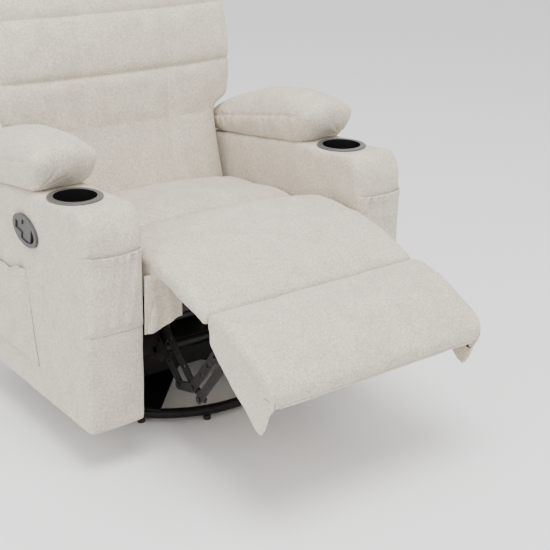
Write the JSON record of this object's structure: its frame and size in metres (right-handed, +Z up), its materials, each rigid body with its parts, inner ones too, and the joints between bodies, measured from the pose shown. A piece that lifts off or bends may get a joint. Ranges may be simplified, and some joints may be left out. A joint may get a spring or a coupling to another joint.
{
  "type": "glider nursery chair",
  "caption": "Swivel glider recliner armchair with a raised padded footrest, wide padded arms with cup holders, patch pockets, a side pull handle and a round steel floor base.",
  "frame": {"origin": "centre of the whole chair's footprint box, on the floor, footrest raised and back upright", "axes": "+Z up, the chair faces -Y, +X towards the sitter's left"},
  "size_m": [0.894, 1.2561, 1.03],
  "materials": {
    "cloth": "matte",
    "black_steel": "satin",
    "zinc_steel": "satin",
    "black_plastic": "satin",
    "grey_plastic": "satin",
    "plywood": "matte"
  },
  "bodies": {
    "floor_base": {"base_ring": "black_steel", "base_legs": "black_steel", "hub_plate": "black_steel", "floor_glides": "black_plastic", "lower_race": "zinc_steel", "swivel_kingpin": "zinc_steel"},
    "ball_ring": {"bearing_balls": "zinc_steel", "ball_cage": "black_plastic"},
    "swivel_deck": {"upper_race": "zinc_steel", "deck_plate": "black_steel", "glider_uprights": "black_steel", "upper_glide_pins": "zinc_steel"},
    "front_glide": {"front_glide_links": "black_steel", "front_glide_bushes": "black_plastic"},
    "rear_glide": {"rear_glide_links": "black_steel", "rear_glide_bushes": "black_plastic"},
    "carriage": {"side_plate_left": "black_steel", "side_plate_right": "black_steel", "lower_glide_pins": "zinc_steel", "front_cross_tube": "black_steel", "rear_cross_tube": "black_steel", "linkage_pins": "zinc_steel", "seat_frame": "plywood", "seat_springs": "zinc_steel", "seat_cushion": "cloth", "chaise_pad": "cloth", "chaise_bridge": "cloth", "front_flaps": "cloth", "rear_panel": "cloth", "arm_left": "cloth", "arm_right": "cloth", "arm_frames": "plywood", "arm_pad_left": "cloth", "arm_pad_right": "cloth", "cup_holder_left": "black_plastic", "cup_holder_right": "black_plastic", "front_pocket_left": "cloth", "front_pocket_right": "cloth", "side_pocket": "cloth", "handle_bezel": "grey_plastic", "handle_pin": "zinc_steel", "cable_ferrule": "black_plastic"},
    "handle": {"handle_paddle": "grey_plastic"},
    "latch": {"release_latch": "black_steel"},
    "drive_links": {"drive_tube": "black_steel", "drive_link_left": "black_steel", "drive_link_right": "black_steel"},
    "idler_links": {"idler_links": "black_steel"},
    "coupler_links": {"coupler_links": "black_steel"},
    "control_links": {"control_links": "black_steel"},
    "footrest": {"footrest_board": "plywood", "footrest_brackets": "black_steel", "footrest_pad": "cloth", "footrest_skirt_left": "cloth", "footrest_skirt_right": "cloth"},
    "backrest": {"lower_back_cushion": "cloth", "head_cushion": "cloth", "back_frame": "plywood", "back_shell": "cloth", "back_brackets": "black_steel"}
  },
  "joints": [
    {"name": "swivel", "type": "hinge", "parent": "floor_base", "child": "swivel_deck", "pos_m": [0, 0.185, 0.064], "axis": [0, 0, 1], "continuous": true},
    {"name": "ball_ring_spin", "type": "hinge", "parent": "floor_base", "child": "ball_ring", "pos_m": [0, 0.185, 0.064], "axis": [0, 0, 1], "continuous": true},
    {"name": "glide", "type": "hinge", "parent": "swivel_deck", "child": "front_glide", "pos_m": [0, 0.075, 0.23], "axis": [1, 0, 0], "range_deg": [-14, 14]},
    {"name": "rear_glide_swing", "type": "hinge", "parent": "swivel_deck", "child": "rear_glide", "pos_m": [0, 0.295, 0.23], "axis": [1, 0, 0], "range_deg": [-14, 14]},
    {"name": "carriage_level", "type": "hinge", "parent": "front_glide", "child": "carriage", "pos_m": [0, 0.075, 0.125], "axis": [1, 0, 0], "range_deg": [-14, 14]},
    {"name": "footrest_fold", "type": "hinge", "parent": "carriage", "child": "footrest", "pos_m": [0, -0.27544, 0.46751], "axis": [1, 0, 0], "range_deg": [0, 82], "deforming": ["chaise_bridge", "front_flaps"]},
    {"name": "drive_turn", "type": "hinge", "parent": "carriage", "child": "drive_links", "pos_m": [0, -0.155, 0.315], "axis": [1, 0, 0], "range_deg": [0, 82]},
    {"name": "idler_turn", "type": "hinge", "parent": "carriage", "child": "idler_links", "pos_m": [0, -0.1, 0.3], "axis": [1, 0, 0], "range_deg": [0, 82]},
    {"name": "coupler_turn", "type": "hinge", "parent": "drive_links", "child": "coupler_links", "pos_m": [0, -0.28656, 0.20249], "axis": [1, 0, 0], "range_deg": [-82, 0]},
    {"name": "control_turn", "type": "hinge", "parent": "drive_links", "child": "control_links", "pos_m": [0, -0.32039, 0.19017], "axis": [1, 0, 0], "range_deg": [-82, 0]},
    {"name": "recline", "type": "hinge", "parent": "carriage", "child": "backrest", "pos_m": [0, 0.42, 0.325], "axis": [-1, 0, 0], "range_deg": [0, 35]},
    {"name": "handle_pull", "type": "hinge", "parent": "carriage", "child": "handle", "pos_m": [-0.436, 0.09936, 0.50892], "axis": [0, 0.1822, -0.9833], "range_deg": [0, 30], "stiffness_Nm_per_rad": 0.8, "springref_deg": -11.46},
    {"name": "latch_lift", "type": "hinge", "parent": "carriage", "child": "latch", "pos_m": [-0.218, -0.051, 0.3], "axis": [-1, 0, 0], "range_deg": [0, 15]}
  ],
  "couplings": [
    {"joint": "ball_ring_spin", "follows": "swivel", "ratio": 0.5},
    {"joint": "rear_glide_swing", "follows": "glide", "ratio": 1},
    {"joint": "carriage_level", "follows": "glide", "ratio": -1},
    {"joint": "drive_turn", "follows": "footrest_fold", "ratio": 1},
    {"joint": "idler_turn", "follows": "footrest_fold", "ratio": 1},
    {"joint": "coupler_turn", "follows": "footrest_fold", "ratio": -1},
    {"joint": "control_turn", "follows": "footrest_fold", "ratio": -1},
    {"joint": "latch_lift", "follows": "handle_pull", "ratio": 0.5}
  ]
}
